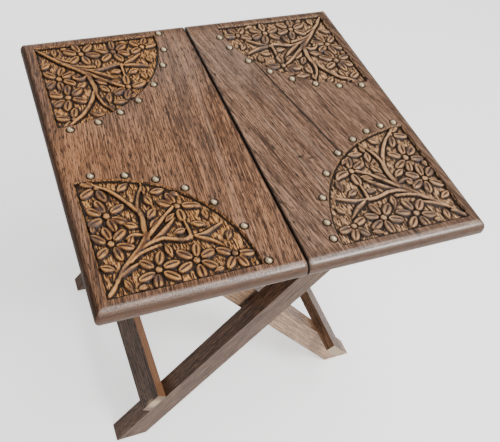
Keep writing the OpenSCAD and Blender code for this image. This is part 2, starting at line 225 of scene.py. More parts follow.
def rail(points, per_span=6):
    """A smooth curve through the points."""
    p = np.array(points, dtype=float)
    p = np.vstack([2 * p[0] - p[1], p, 2 * p[-1] - p[-2]])
    out = []
    for i in range(1, len(p) - 2):
        for t in np.arange(per_span) / per_span:
            out.append(0.5 * (2 * p[i] + (p[i + 1] - p[i - 1]) * t
                              + (2 * p[i - 1] - 5 * p[i] + 4 * p[i + 1] - p[i + 2]) * t ** 2
                              + (3 * p[i] - p[i - 1] - 3 * p[i + 1] + p[i + 2]) * t ** 3))
    out.append(p[-2])
    return np.array(out)


def along(a, b, curve):
    """Distance to a curve and how far along it the nearest place is, from 0 to 1."""
    best = np.full(a.shape, 1e9)
    place = np.zeros(a.shape)
    spans = len(curve) - 1
    for i in range(spans):
        p, q = curve[i], curve[i + 1]
        d = q - p
        t = np.clip(((a - p[0]) * d[0] + (b - p[1]) * d[1]) / (d @ d), 0.0, 1.0)
        far = np.hypot(a - p[0] - t * d[0], b - p[1] - t * d[1])
        near = far < best
        best = np.where(near, far, best)
        place = np.where(near, (i + t) / spans, place)
    return best, place


def stem_height(a, b, start, end, points):
    """A round-backed stem."""
    far, place = along(a, b, rail(points))
    half = start + (end - start) * place
    q = np.clip(far / half, 0.0, 1.0)
    return RELIEF * 0.98 * (1.0 - q ** 4) ** 0.5 * (q < 1.0)


def blade_height(a, b, half, points):
    """A long ridged leaf, narrow at both ends."""
    far, place = along(a, b, rail(points))
    width = half * np.sin(np.pi * np.clip(place * 0.92 + 0.06, 0.0, 1.0)) ** 0.8 + 0.15
    q = np.clip(far / width, 0.0, 1.0)
    return RELIEF * (1.0 - 0.55 * q) * (1.0 - q ** 6) ** 0.5 * (q < 1.0)


def local(a, b, at_a, at_b, direction):
    """Coordinates along and across a direction, about a place."""
    c, s = math.cos(math.radians(direction)), math.sin(math.radians(direction))
    return (a - at_a) * c + (b - at_b) * s, (b - at_b) * c - (a - at_a) * s


def petal_height(a, b, at_a, at_b, length, width, direction, pointed):
    """A rounded or pointed leaf with a groove down its middle."""
    u, v = local(a, b, at_a, at_b, direction)
    u = u / (length / 2)
    v = v / (width / 2)
    belly = np.clip(1.0 - np.abs(u) ** (1.6 if pointed else 2.3), 0.0, 1.0) ** (0.85 if pointed else 0.5)
    q = np.where(belly > 0.02, np.abs(v) / np.maximum(belly, 0.02), 2.0)
    body = RELIEF * (1.0 - np.clip(q, 0, 1) ** 3.2) ** 0.5 * (0.72 + 0.28 * (1 - u ** 2)) * (q < 1.0)
    vein = VEIN_DEPTH * np.exp(-(v * width / 2 / VEIN_HALF) ** 2) * (np.abs(u) < 0.86)
    ribs = RIB_HEIGHT * np.cos((u * length / 2 - np.abs(v) * width / 2 * 0.9) * RIB_TURN) * (np.abs(v) > 0.16)
    return np.where(q < 1.0, np.maximum(body - vein + ribs * 0.5 - 0.1, 0.35), 0.0)


def button_height(a, b, at_a, at_b):
    """The ringed button in the middle of a flower."""
    r = np.minimum(np.hypot(a - at_a, b - at_b) / BUTTON_R, 1.0)
    dome = 1.0 - 0.25 * r ** 2
    ring = -0.5 * np.exp(-((r - 0.55) / 0.16) ** 2)
    return RELIEF * np.where(r < 1.0, np.clip(dome + ring * 0.5, 0, 1) * (1 - r ** 8) ** 0.5, 0.0)


def flower_height(a, b, off, reach, directions, at_a, at_b):
    """Petals round a button."""
    height = np.zeros(a.shape)
    for direction in directions:
        way = math.radians(direction + off(4))
        out = reach * (1 + off(0.05))
        petal = petal_height(a, b, at_a + out * math.cos(way), at_b + out * math.sin(way),
                             PETAL_L * (1 + off(SIZE_SHIFT)), PETAL_W * (1 + off(SIZE_SHIFT)),
                             math.degrees(way) + off(6), False)
        clear = np.hypot(a - at_a, b - at_b) > BUTTON_R + BUTTON_GAP
        height = np.maximum(height, petal * clear)
    return np.maximum(height, button_height(a, b, at_a, at_b))


def motif_height(a, b, seed):
    """Height of the flowers, leaves and stems above the sunken ground."""
    chance = np.random.default_rng(seed)

    def off(size):
        return float(chance.uniform(-size, size))

    height = np.zeros(a.shape)
    for start, end, points in STEMS:
        moved = [(p + off(STEM_SHIFT), q + off(STEM_SHIFT)) for p, q in points]
        height = np.maximum(height, stem_height(a, b, start, end, moved))
    for half, points in BLADES:
        moved = [(p + off(BLADE_SHIFT), q + off(BLADE_SHIFT)) for p, q in points]
        height = np.maximum(height, blade_height(a, b, half, moved))
    for at_a, at_b, length, width, direction in LEAVES:
        leaf = petal_height(a, b, at_a + off(LEAF_SHIFT), at_b + off(LEAF_SHIFT),
                            length * (1 + off(SIZE_SHIFT)), width * (1 + off(SIZE_SHIFT)),
                            direction + off(8), True)
        height = np.maximum(height, leaf)
    for at_a, at_b, reach, directions in FLOWERS:
        at_a, at_b = at_a + off(FLOWER_SHIFT), at_b + off(FLOWER_SHIFT)
        height = np.maximum(height, flower_height(a, b, off, reach, directions, at_a, at_b))
    return height


def field_inside(a, b):
    """Distance inside the outline of the carved quarter circle, negative outside it."""
    r = np.hypot(a - FIELD_CENTRE, b - FIELD_CENTRE)
    return np.minimum(np.minimum(a - FIELD_EDGE, b - FIELD_EDGE), FIELD_R - r)


def carving(a, b, seed):
    """Depth below the top surface of the carved corner, and how far the motif stands up."""
    inside = field_inside(a, b)
    wall = smooth(0.0, FIELD_WALL, inside)
    motif = motif_height(a, b, seed) * smooth(0.6, 1.8, inside)
    chip = CHISEL_MARK * np.sin(a * 2.9 + seed) * np.sin(b * 3.1 - seed)
    chip = chip + CHISEL_SWELL * np.sin(a * 1.3 + b * 1.7)
    floor = FIELD_DEPTH * wall - np.clip(chip, -0.05, 0.4) * (motif < 0.1) * wall
    return np.clip(floor - motif, 0.0, FIELD_DEPTH), np.clip(motif / 1.4, 0.0, 1.0)


def seats(a, b, angles):
    """Depth of the round seats that the studs sit in."""
    depth = np.zeros(a.shape)
    for angle in angles:
        at_a = FIELD_CENTRE + STUD_LINE_R * math.cos(math.radians(angle))
        at_b = FIELD_CENTRE + STUD_LINE_R * math.sin(math.radians(angle))
        r = np.hypot(a - at_a, b - at_b)
        depth = np.maximum(depth, SEAT_DEPTH * (1.0 - smooth(SEAT_R - 0.6, SEAT_R + 0.5, r)))
    return depth


def blur(grid, cells):
    """Mean over a square neighbourhood."""
    wide = 2 * cells + 1
    for _ in range(2):
        padded = np.pad(grid, ((cells + 1, cells), (0, 0)), mode="edge")
        total = np.cumsum(padded, axis=0)
        grid = ((total[wide:] - total[:-wide]) / wide).T
    return grid


# ---------------------------------------------------------------- leaves

def nose_lines():
    """Grid lines over the nosing, evenly spaced round its quarter circle."""
    turns = np.linspace(0.0, math.pi / 2, NOSE_STEPS + 1)
    return NOSE_R * (1.0 - np.cos(turns))


def inner_lines(length):
    """Grid lines inwards from one outer edge, fine over the carving."""
    fine = np.linspace(NOSE_R, FINE_TO, int(round((FINE_TO - NOSE_R) / FINE_STEP)) + 1)[1:]
    coarse = np.linspace(FINE_TO, length, max(1, int(round((length - FINE_TO) / COARSE_STEP))) + 1)[1:]
    return np.concatenate([nose_lines(), fine, coarse])


def nose_drop(d):
    """How far the round nosing falls at a distance d in from the edge."""
    inward = np.clip(NOSE_R - d, 0.0, NOSE_R)
    return NOSE_R - np.sqrt(NOSE_R ** 2 - inward ** 2)


def round_corner(a, b):
    """Moves places in the outer corner square onto a rounded corner."""
    p, q = CORNER_R - a, CORNER_R - b
    m = np.maximum(p, q)
    near = (p > 0) & (q > 0)
    low = np.where(near, np.minimum(p, q), 0.0)
    turn = math.pi / 4 * low / np.where(near, m, 1.0)
    c, s = m * np.cos(turn), m * np.sin(turn)
    new_p = np.where(p >= q, c, s)
    new_q = np.where(p >= q, s, c)
    return np.where(near, CORNER_R - new_p, a), np.where(near, CORNER_R - new_q, b)


def leaf_grid(width, depth):
    """Distances in from the outer side and from the front edge, at every vertex of a leaf's grid."""
    xs = np.append(inner_lines(width - SEAM_BEVEL), width)
    half = inner_lines(depth / 2)
    ys = np.concatenate([half, (depth - half[:-1])[::-1]])
    return np.meshgrid(xs, ys, indexing="ij")


def paint_masks(a, b):
    """Where the nosing and the border of a leaf are painted another way, from 0 to 1; shoulder takes a
    painted sheen, side and lower take painted shade.
    """
    edge = np.minimum(a, b)
    end = smooth(-2.0, 2.0, a - b)
    return {
        "shoulder": smooth(0.1, 2.0, b) * (1.0 - smooth(4.5, 9.0, b)) * smooth(-3.0, 3.0, a - b),
        "nose": (1.0 - smooth(6.0, 9.5, b)) * end,
        "lower": (1.0 - smooth(0.8, 4.5, b)) * end,
        "border": (1.0 - smooth(11.0, 18.0, edge)) * smooth(5.0, 9.0, edge),
        "side": (1.0 - smooth(2.5, 8.0, a)) * smooth(-2.0, 2.0, b - a),
    }


def leaf_surface(width, depth, near_angles, far_angles, seeds):
    """Plan places, depths below the top, distances from the edge and paint masks on one leaf's grid."""
    a, y = leaf_grid(width, depth)
    b = np.minimum(y, depth - y)
    edge = np.minimum(a, b)
    front = y <= depth / 2
    near_cut, near_raised = carving(a, b, seeds[0])
    far_cut, far_raised = carving(a, b, seeds[1])
    carved = np.where(front, near_cut, far_cut)
    seat = np.where(front, seats(a, b, near_angles), seats(a, b, far_angles))
    ripple = 1 + np.sin(a * 0.11 + seeds[0]) * np.sin(y * 0.047 + seeds[1])
    wave = SURFACE_WAVE * ripple * smooth(NOSE_R, NOSE_R + 4, edge)
    drop = nose_drop(edge) + np.maximum(carved, seat) + wave
    drop = drop + SEAM_BEVEL * (a > width - 0.01)
    masks = paint_masks(a, b)
    masks["carved"] = smooth(-0.6, 0.8, field_inside(a, b))
    # relief is below 0.5 in recesses and above it on ridges; the carving's colour paints shade in the
    # recesses and a highlight on the ridges from it
    masks["relief"] = np.clip(0.5 - (drop - blur(drop, HOLLOW_CELLS)) / HOLLOW_SPAN, 0.0, 1.0)
    masks["raised"] = np.where(front, near_raised, far_raised)
    masks["seat"] = seat / SEAT_DEPTH
    pa, pb = round_corner(a, b)
    return pa, np.where(front, pb, depth - pb), drop, edge, masks


def quads(first, mask):
    """Faces of a grid of vertex numbers, for the cells in mask."""
    p = first[:-1, :-1][mask]
    q = first[1:, :-1][mask]
    r = first[1:, 1:][mask]
    s = first[:-1, 1:][mask]
    return np.stack([p, q, r, s], axis=1)


def rim_faces(top, under):
    """Faces that close the edge between the top grid and the underside band."""
    nx, ny = top.shape
    ring = [(i, 0) for i in range(nx)] + [(nx - 1, j) for j in range(1, ny)]
    ring += [(i, ny - 1) for i in range(nx - 2, -1, -1)] + [(0, j) for j in range(ny - 2, -1, -1)]
    return [[under[here], under[there], top[there], top[here]] for here, there in zip(ring[:-1], ring[1:])]


def flat_underside(under):
    """The one flat face inside the rounded band of the underside."""
    nx, ny = under.shape
    band = NOSE_STEPS
    loop = [under[band, j] for j in range(band, ny - band)]
    loop += [under[i, ny - 1 - band] for i in range(band + 1, nx - 1)]
    loop += [under[nx - 2, j] for j in range(ny - 2 - band, band - 1, -1)]
    loop += [under[i, band] for i in range(nx - 3, band, -1)]
    return loop


def outer_band(shape, steps):
    """Marks the outer rows of a grid on its three rounded sides."""
    mask = np.zeros(shape, bool)
    mask[:steps, :] = True
    mask[:, :steps] = True
    mask[:, shape[1] - steps:] = True
    return mask


def leaf_mesh(node, outer_side, near_angles, far_angles, seeds):
    """A leaf as one closed mesh with its two carved corners. outer_side is -1 for the left leaf."""
    low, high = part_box(node)
    width = (high[0] - low[0]) / MM
    depth = (high[1] - low[1]) / MM
    a, y, drop, edge, masks = leaf_surface(width, depth, near_angles, far_angles, seeds)
    nx, ny = a.shape
    x = low[0] + a * MM if outer_side < 0 else high[0] - a * MM
    y = low[1] + y * MM
    lower = nose_drop(edge)
    lower[-1, :] = lower[-1, :] + SEAM_BEVEL
    above = np.stack([x, y, high[2] - drop * MM], axis=-1)
    below = np.stack([x, y, low[2] + lower * MM], axis=-1)

    used = outer_band((nx, ny), NOSE_STEPS + 1)
    used[-2:, :] = True
    cells = outer_band((nx - 1, ny - 1), NOSE_STEPS)
    cells[-1, :] = True
    top = np.arange(nx * ny).reshape(nx, ny)
    under = np.full((nx, ny), -1)
    under[used] = nx * ny + np.arange(used.sum())

    faces = quads(top, np.ones((nx - 1, ny - 1), bool)).tolist()
    faces += quads(under, cells)[:, ::-1].tolist()
    faces += rim_faces(top, under)
    faces.append(flat_underside(under))
    if outer_side > 0:
        faces = [face[::-1] for face in faces]
    places = np.concatenate([above.reshape(-1, 3), below[used]])
    mesh = bpy.data.meshes.new(node + "_carved")
    mesh.from_pydata(places.tolist(), [], [[int(v) for v in face] for face in faces])
    # The underside band takes the side mask and, as lower, the nose mask, so it gets painted shade too
    under_masks = {"relief": np.full(used.sum(), 0.5), "side": masks["side"][used],
                   "nose": masks["nose"][used], "lower": masks["nose"][used]}
    for name, values in masks.items():
        add_values(mesh, name, np.concatenate([values.ravel(), under_masks.get(name, np.zeros(used.sum()))]))
    mesh.update()
    return finish_mesh(mesh, node + "_carved", LEAF_SHARP)


def add_values(mesh, name, values):
    """One number per vertex, for the materials to read."""
    layer = mesh.attributes.new(name, "FLOAT", "POINT")
    layer.data.foreach_set("value", np.asarray(values, dtype=np.float32))


def finish_mesh(mesh, name, sharp):
    """Smooth shading with edges above sharp degrees kept, and the mesh put in the scene."""
    mesh.shade_smooth()
    mesh.set_sharp_from_angle(angle=math.radians(sharp))
    obj = bpy.data.objects.new(name, mesh)
    bpy.context.scene.collection.objects.link(obj)
    return obj


# ---------------------------------------------------------------- studs

def dome(centre, phase, first):
    """Places and faces of one stud head, slightly out of round. first is the number of its first vertex."""
    places = []
    for row, (radius, height) in enumerate(STUD_PROFILE):
        for k in range(STUD_SIDES):
            turn = 2 * math.pi * k / STUD_SIDES
            dent = 1.0 - STUD_DENT * (1 + math.sin(3 * turn + phase)) * (row > 2)
            places.append((centre[0] + radius * dent * math.cos(turn) * MM,
                           centre[1] + radius * dent * math.sin(turn) * MM, centre[2] + height * MM))
    places.append((centre[0], centre[1], centre[2] + STUD_CROWN * MM))
    number = first + np.arange(len(STUD_PROFILE) * STUD_SIDES).reshape(-1, STUD_SIDES)
    crown = first + len(places) - 1
    faces = []
    for k in range(STUD_SIDES):
        n = (k + 1) % STUD_SIDES
        for inner, outer in zip(number[1:], number[:-1]):
            faces.append((outer[k], outer[n], inner[n], inner[k]))
        faces.append((number[-1][k], number[-1][n], crown))
    faces.append(tuple(number[0][::-1]))
    return places, faces


def studs_mesh(node, side_x, side_y, angles, seed):
    """The dome heads of one corner's studs as one mesh."""
    chance = np.random.default_rng(seed)
    low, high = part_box("leaf_left" if side_x < 0 else "leaf_right")
    edge_x = low[0] if side_x < 0 else high[0]
    edge_y = low[1] if side_y < 0 else high[1]
    places, faces = [], []
    for angle in angles:
        way = math.radians(angle)
        centre = (edge_x - side_x * (FIELD_CENTRE + STUD_LINE_R * math.cos(way)) * MM,
                  edge_y - side_y * (FIELD_CENTRE + STUD_LINE_R * math.sin(way)) * MM, high[2])
        more_places, more_faces = dome(centre, chance.uniform(0, 6.28), len(places))
        places += more_places
        faces += more_faces
    mesh = bpy.data.meshes.new(node + "_domes")
    mesh.from_pydata(places, [], [[int(v) for v in face] for face in faces])
    return finish_mesh(mesh, node + "_domes", STUD_SHARP)


# ---------------------------------------------------------------- materials

class Shader:
    """Adds and links the nodes of one material."""

    def __init__(self, name):
        self.material = bpy.data.materials.new(name)
        self.material.use_nodes = True
        self.tree = self.material.node_tree
        self.bsdf = self.tree.nodes["Principled BSDF"]

    def node(self, kind, **settings):
        made = self.tree.nodes.new(kind)
        for key, value in settings.items():
            setattr(made, key, value)
        return made

    def set(self, node, name, value):
        if isinstance(value, bpy.types.NodeSocket):
            self.tree.links.new(value, node.inputs[name])
        else:
            node.inputs[name].default_value = value

    def place(self, turn=(0, 0, 0)):
        """Position on the object, turned so that the grain runs along Z."""
        coords = self.node("ShaderNodeTexCoord").outputs["Object"]
        turned = self.node("ShaderNodeMapping")
        self.set(turned, "Vector", coords)
        turned.inputs["Rotation"].default_value = [math.radians(v) for v in turn]
        return turned.outputs["Vector"]

    def scaled(self, vector, scale, shift=(0, 0, 0)):
        made = self.node("ShaderNodeMapping")
        self.set(made, "Vector", vector)
        made.inputs["Scale"].default_value = scale
        made.inputs["Location"].default_value = shift
        return made.outputs["Vector"]

    def noise(self, vector, scale, detail, rough, twist=0.0):
        made = self.node("ShaderNodeTexNoise")
        self.set(made, "Vector", vector)
        self.set(made, "Scale", scale)
        self.set(made, "Detail", detail)
        self.set(made, "Roughness", rough)
        self.set(made, "Distortion", twist)
        return made.outputs["Fac"]

    def ramp(self, value, stops):
        made = self.node("ShaderNodeValToRGB")
        self.set(made, "Fac", value)
        steps = made.color_ramp.elements
        while len(steps) < len(stops):
            steps.new(0.5)
        for step, (at, colour) in zip(steps, stops):
            step.position = at
            step.color = (*colour, 1.0)
        return made.outputs["Color"]

    def spread(self, value, low, high, to_low=0.0, to_high=1.0):
        made = self.node("ShaderNodeMapRange", clamp=True)
        self.set(made, "Value", value)
        self.set(made, "From Min", low)
        self.set(made, "From Max", high)
        self.set(made, "To Min", to_low)
        self.set(made, "To Max", to_high)
        return made.outputs["Result"]

    def blend(self, amount, first, second):
        made = self.node("ShaderNodeMix", data_type="RGBA")
        self.set(made, "Factor", amount)
        for index, value in ((6, first), (7, second)):
            if isinstance(value, bpy.types.NodeSocket):
                self.tree.links.new(value, made.inputs[index])
            else:
                made.inputs[index].default_value = (*value, 1.0)
        return made.outputs[2]

    def tint(self, colour, other, mask, amount):
        """Blends a colour towards another by a share of a mask."""
        return self.blend(self.maths("MULTIPLY", mask, amount), colour, other)

    def maths(self, how, first, second=0.0):
        made = self.node("ShaderNodeMath", operation=how)
        for index, value in ((0, first), (1, second)):
            if isinstance(value, bpy.types.NodeSocket):
                self.tree.links.new(value, made.inputs[index])
            else:
                made.inputs[index].default_value = value
        return made.outputs[0]

    def attribute(self, name):
        made = self.node("ShaderNodeAttribute", attribute_name=name)
        return made.outputs["Fac"]

    def bump(self, height, strength, distance):
        made = self.node("ShaderNodeBump")
        self.set(made, "Height", height)
        self.set(made, "Strength", strength)
        self.set(made, "Distance", distance)
        self.set(self.bsdf, "Normal", made.outputs["Normal"])


def wood_parts(s, turn, seed):
    """Tone, fibres, pores and blotches of a piece of wood whose grain runs along Z after turn."""
    base = s.place(turn)
    bands = s.noise(s.scaled(base, (62, 62, 4.0), (seed, 0, seed)), 1.0, 4.0, 0.6, 0.7)
    streaks = s.noise(s.scaled(base, (430, 430, 8), (seed, seed, 0)), 1.0, 4.0, 0.62, 0.4)
    tone = s.maths("ADD", s.maths("MULTIPLY", bands, 0.4), s.maths("MULTIPLY", streaks, 0.6))
    fibres = s.noise(s.scaled(base, (1050, 1050, 30), (0, seed, 0)), 1.0, 3.0, 0.72)
    pores = s.noise(s.scaled(base, (1250, 1250, 120), (seed, seed, 0)), 1.0, 2.0, 0.55)
    blotch = s.noise(s.scaled(base, (16, 16, 7), (0, 0, seed)), 1.0, 4.0, 0.6)
    return tone, fibres, pores, blotch


def times(colour, share):
    return tuple(v * share for v in colour)


def with_spots(s, colour, spots):
    """spots lists (centre, size, colour, amount)."""
    for centre, size, other, amount in spots:
        colour = s.tint(colour, other, spot_at(s, centre, size), amount)
    return colour


def wood_colour(s, parts, tones, patches=()):
    tone, fibres, pores, blotch = parts
    dark, mid, light, grey = tones
    colour = s.ramp(tone, ((0.41, dark), (0.49, mid), (0.57, light)))
    colour = s.blend(s.spread(blotch, 0.42, 0.64, 0.0, 0.6), colour, grey)
    colour = with_spots(s, colour, patches)
    colour = s.blend(s.spread(fibres, 0.37, 0.48, 0.75, 0.0), colour, times(light, 1.7))
    colour = s.blend(s.spread(fibres, 0.51, 0.62, 0.0, 0.8), colour, times(dark, 0.6))
    return s.blend(s.spread(pores, 0.54, 0.61, 0.0, 0.9), colour, times(dark, 0.25))


def finish_wood(s, parts, rough):
    _, fibres, pores, _ = parts
    s.set(s.bsdf, "Roughness", s.spread(fibres, 0.35, 0.65, rough - 0.08, rough + 0.14))
    height = s.maths("SUBTRACT", s.spread(pores, 0.58, 0.72, 1.0, 0.0), fibres)
    s.bump(height, 0.35, 0.0005)
    s.set(s.bsdf, "Specular IOR Level", 0.25)
    return s.material


def plain_wood(name, turn, seed, rough=0.5, painted_light_faces=(), spots=()):
    """Wood of one piece, with painted light and shade: facing lists (direction, colour, amount) for faces
    painted lighter or darker by how the light falls on them.
    """
    s = Shader(name)
    parts = wood_parts(s, turn, seed)
    colour = wood_colour(s, parts, TONES[name])
    # Painted light and shade: each listed face direction gets its own colour
    for direction, other, amount in painted_light_faces:
        grained = s.blend(s.spread(parts[1], 0.40, 0.62, 0.0, 0.7), other, times(other, 0.35))
        colour = s.tint(colour, grained, facing_way(s, direction, 0.80, 0.93), amount)
    s.set(s.bsdf, "Base Color", with_spots(s, colour, spots))
    return finish_wood(s, parts, rough)


def facing_way(s, direction, low, high):
    """1 on faces that look in a direction, in the piece's own frame, and 0 on the others."""
    dot = s.node("ShaderNodeVectorMath", operation="DOT_PRODUCT")
    s.set(dot, 0, s.node("ShaderNodeTexCoord").outputs["Normal"])
    dot.inputs[1].default_value = direction
    return s.spread(dot.outputs["Value"], low, high)


def line_at(s, place, slant, width):
    """1 on a narrow straight line through a place, slant degrees off the Y axis, 0 elsewhere."""
    way = math.radians(slant)
    across = (math.cos(way), math.sin(way), 0.0)
    dot = s.node("ShaderNodeVectorMath", operation="DOT_PRODUCT")
    s.set(dot, 0, s.node("ShaderNodeTexCoord").outputs["Object"])
    dot.inputs[1].default_value = across
    here = place[0] * across[0] + place[1] * across[1]
    away = s.maths("ABSOLUTE", s.maths("SUBTRACT", dot.outputs["Value"], here))
    return s.spread(away, width * 0.4, width, 1.0, 0.0)


def spot_at(s, centre, size):
    """1 within a stretched spot, fading to 0."""
    coords = s.node("ShaderNodeTexCoord").outputs["Object"]
    moved = s.node("ShaderNodeMapping", vector_type="TEXTURE")
    s.set(moved, "Vector", coords)
    moved.inputs["Location"].default_value = centre
    moved.inputs["Scale"].default_value = size
    length = s.node("ShaderNodeVectorMath", operation="LENGTH")
    s.set(length, 0, moved.outputs["Vector"])
    return s.spread(length.outputs["Value"], 0.35, 1.0, 1.0, 0.0)


def with_lines(s, colour, fibres, lines):
    """lines lists (place, slant, width, colour, amount, broken). Broken lines fade out along the fibres."""
    gaps = s.spread(fibres, 0.42, 0.54, 1.0, 0.35)
    for place, slant, width, other, amount, broken in lines:
        shown = s.maths("MULTIPLY", line_at(s, place, slant, width), amount)
        colour = s.blend(s.maths("MULTIPLY", shown, gaps) if broken else shown, colour, other)
    return colour


def edge_grime_sheen_and_shade(s, colour, parts, dark):
    """Grime along the border, a painted silver-grey sheen on the rubbed shoulder, and painted shade on the
    sides and the lower part of the nosing.
    """
    grime = s.maths("MULTIPLY", s.attribute("border"), s.spread(parts[3], 0.36, 0.60, 0.55, 0.15))
    colour = s.blend(grime, colour, times(dark, 0.8))
    sheen_share = s.spread(parts[1], 0.36, 0.58, 0.75, 0.05)
    # Painted sheen: the shoulder of the front and rear nosing is tinted silver-grey
    colour = s.tint(colour, (0.36, 0.29, 0.25), s.attribute("shoulder"), sheen_share)
    # Painted shade: the nosing along the outer side and the lower part of the front and rear nosing are
    # darkened
    colour = s.tint(colour, (0.030, 0.015, 0.009), s.attribute("side"), 0.85)
    return s.tint(colour, (0.060, 0.026, 0.011), s.attribute("lower"), 0.85)


def top_wood(name, seed, slant, gold, lines, patches, marks):
    """Wood of a leaf, with painted shade in the carving's recesses and a painted highlight on its gold-brown
    ridges.
    """
    s = Shader(name)
    tones = TONES[name]
    parts = wood_parts(s, (90, slant, 0), seed)
    plain = wood_colour(s, parts, tones, patches)
    rubbed = wood_parts(s, (0, 90, 0), seed + 2)
    plain = s.blend(s.attribute("nose"), plain, wood_colour(s, rubbed, tones))
    plain = with_lines(s, plain, parts[1], lines)
    plain = with_spots(s, plain, marks)
    # Painted shade: the recessed stud seats are darkened nearly to black
    plain = s.blend(s.spread(s.attribute("seat"), 0.1, 0.5, 0.0, 0.96), plain, gold["dark_and_shade"])
    plain = edge_grime_sheen_and_shade(s, plain, parts, tones[0])
    s.set(s.bsdf, "Base Color", s.blend(s.attribute("carved"), plain, carving_colour_and_shade(s, parts, gold, tones[3])))
    finish_wood(s, parts, 0.42)
    front = s.maths("SUBTRACT", s.attribute("shoulder"), s.attribute("side"))
    s.set(s.bsdf, "Coat Weight", s.maths("MULTIPLY", s.maths("MAXIMUM", front, 0.0), 0.9))
    s.set(s.bsdf, "Coat Roughness", 0.28)
    s.set(s.bsdf, "Specular IOR Level", s.spread(s.attribute("side"), 0.0, 1.0, 0.25, 0.03))
    return s.material


def carving_colour_and_shade(s, parts, gold, grey):
    """Colour of the carving: a speckled golden ground, brown motif with rubbed ridges lifted by a painted
    highlight, painted shade in the recesses and on faces turned from the light.
    """
    speckle = s.noise(s.scaled(s.place(), (900, 170, 500)), 1.0, 2.0, 0.6)
    ground = s.ramp(speckle, ((0.41, gold["dark_and_shade"]), (0.50, gold["tan"]), (0.60, gold["gold"])))
    relief = s.attribute("relief")
    # Painted highlight: the motif turns lighter gold where it stands above its surroundings and browner where
    # it lies lower
    motif = s.ramp(relief, ((0.44, gold["brown"]), (0.58, gold["tan"]), (0.76, gold["gold"])))
    motif = s.blend(s.spread(parts[1], 0.42, 0.66, 0.0, 0.55), motif, gold["brown"])
    motif = s.blend(s.spread(parts[3], 0.50, 0.72, 0.0, 0.3), motif, grey)
    dusk = s.noise(s.place(), 75.0, 3.0, 0.55)
    motif = s.blend(s.spread(dusk, 0.50, 0.62, 0.0, 0.7), motif, gold["dusk"])
    # Painted shade: faces of the motif that look away from the light are darkened
    motif = s.tint(motif, gold["dark_and_shade"], facing_way(s, AWAY_FROM_LIGHT, 0.05, 0.42), 0.65)
    both = s.blend(s.spread(s.attribute("raised"), 0.15, 0.5, 0.0, 1.0), ground, motif)
    # Painted shade: the recesses beside the motif are darkened nearly to black
    return s.blend(s.spread(relief, 0.31, 0.49, 0.97, 0.0), both, gold["dark_and_shade"])


def metal(name, dark, light, rough, scale, metallic, painted_shade=None):
    """Cast or drawn metal. An optional (direction, colour) paints shade on the side that looks that way."""
    s = Shader(name)
    grain = s.noise(s.place(), scale, 5.0, 0.6)
    colour = s.ramp(grain, ((0.32, dark), (0.62, light)))
    if painted_shade:
        colour = s.tint(colour, painted_shade[1], facing_way(s, painted_shade[0], 0.40, 0.66), 0.95)
    s.set(s.bsdf, "Base Color", colour)
    s.set(s.bsdf, "Roughness", s.spread(grain, 0.3, 0.7, rough + 0.12, rough - 0.06))
    s.set(s.bsdf, "Metallic", metallic)
    s.bump(grain, 0.12, 0.0002)
    return s.material


def end_of(node):
    """Middle of the front end of a node."""
    low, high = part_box(node)
    return ((low[0] + high[0]) / 2, low[1], (low[2] + high[2]) / 2)


def top_left():
    lines = (
        ((-0.045, 0.000), -5.0, 0.0090, (0.075, 0.045, 0.032), 0.30, False),
        ((-0.028, 0.014), -4.4, 0.0016, (0.36, 0.220, 0.150), 0.45, True),
        ((-0.024, 0.035), -7.4, 0.0014, (0.35, 0.215, 0.145), 0.40, True),
        SEAM_GRIME,
    )
    patches = (
        ((-0.176, -0.005, 0.362), (0.050, 0.075, 0.05), (0.36, 0.150, 0.058), 0.75),
        ((-0.120, -0.010, 0.362), (0.06, 0.05, 0.05), (0.27, 0.115, 0.048), 0.5),
        ((-0.035, 0.130, 0.362), (0.060, 0.090, 0.05), (0.26, 0.175, 0.130), 0.55),
        ((-0.034, -0.015, 0.369), (0.010, 0.030, 0.01), (0.050, 0.032, 0.024), 0.6),
        ((-0.055, 0.020, 0.369), (0.007, 0.022, 0.01), (0.060, 0.036, 0.026), 0.5),
    )
    return top_wood("top_left", 3.1, -5.0, GOLD_LEFT, lines, patches, ())


def top_right():
    lines = (
        ((0.060, -0.020), 10.8, 0.0050, (0.070, 0.045, 0.035), 0.35, False),
        ((0.035, -0.005), 10.9, 0.0022, (0.37, 0.245, 0.170), 0.50, True),
        ((0.052, 0.030), 11.0, 0.0012, (0.36, 0.235, 0.165), 0.45, True),
        ((0.0765, 0.009), 11.2, 0.0016, (0.012, 0.007, 0.005), 0.95, False),
        SEAM_GRIME,
    )
    patches = (((0.030, 0.110, 0.362), (0.045, 0.070, 0.05), (0.27, 0.185, 0.140), 0.5),)
    knot = (
        ((0.0475, -0.0588, 0.369), (0.0055, 0.0030, 0.006), (0.018, 0.010, 0.006), 0.9),
        ((0.0575, -0.0630, 0.369), (0.0075, 0.0022, 0.006), (0.022, 0.012, 0.008), 0.85),
    )
    return top_wood("top_right", 7.7, 10.5, GOLD_RIGHT, lines, patches, knot)


def outer_slat():
    # Painted light: the outer slat's faces that look up and to the right, and its front face, are lighter
    painted_light_faces = ((UP_OUTER_LEG, (0.33, 0.160, 0.078), 0.85), (FRONT, (0.30, 0.20, 0.13), 0.6))
    sawn_end = ((end_of("outer_stretcher"), (0.0105, 0.006, 0.0105), (0.50, 0.36, 0.22), 0.85),)
    return plain_wood("outer_slat_wood", (90, 0, 0), 2.9, painted_light_faces=painted_light_faces, spots=sawn_end)


def inner_slat():
    # Painted light: the inner slat's faces that look up and to the left, and its front face, are lighter
    painted_light_faces = ((UP_INNER_LEG, (0.16, 0.085, 0.045), 0.3), (FRONT, (0.50, 0.36, 0.235), 0.85))
    return plain_wood("inner_slat_wood", (90, 0, 0), 8.9, painted_light_faces=painted_light_faces)


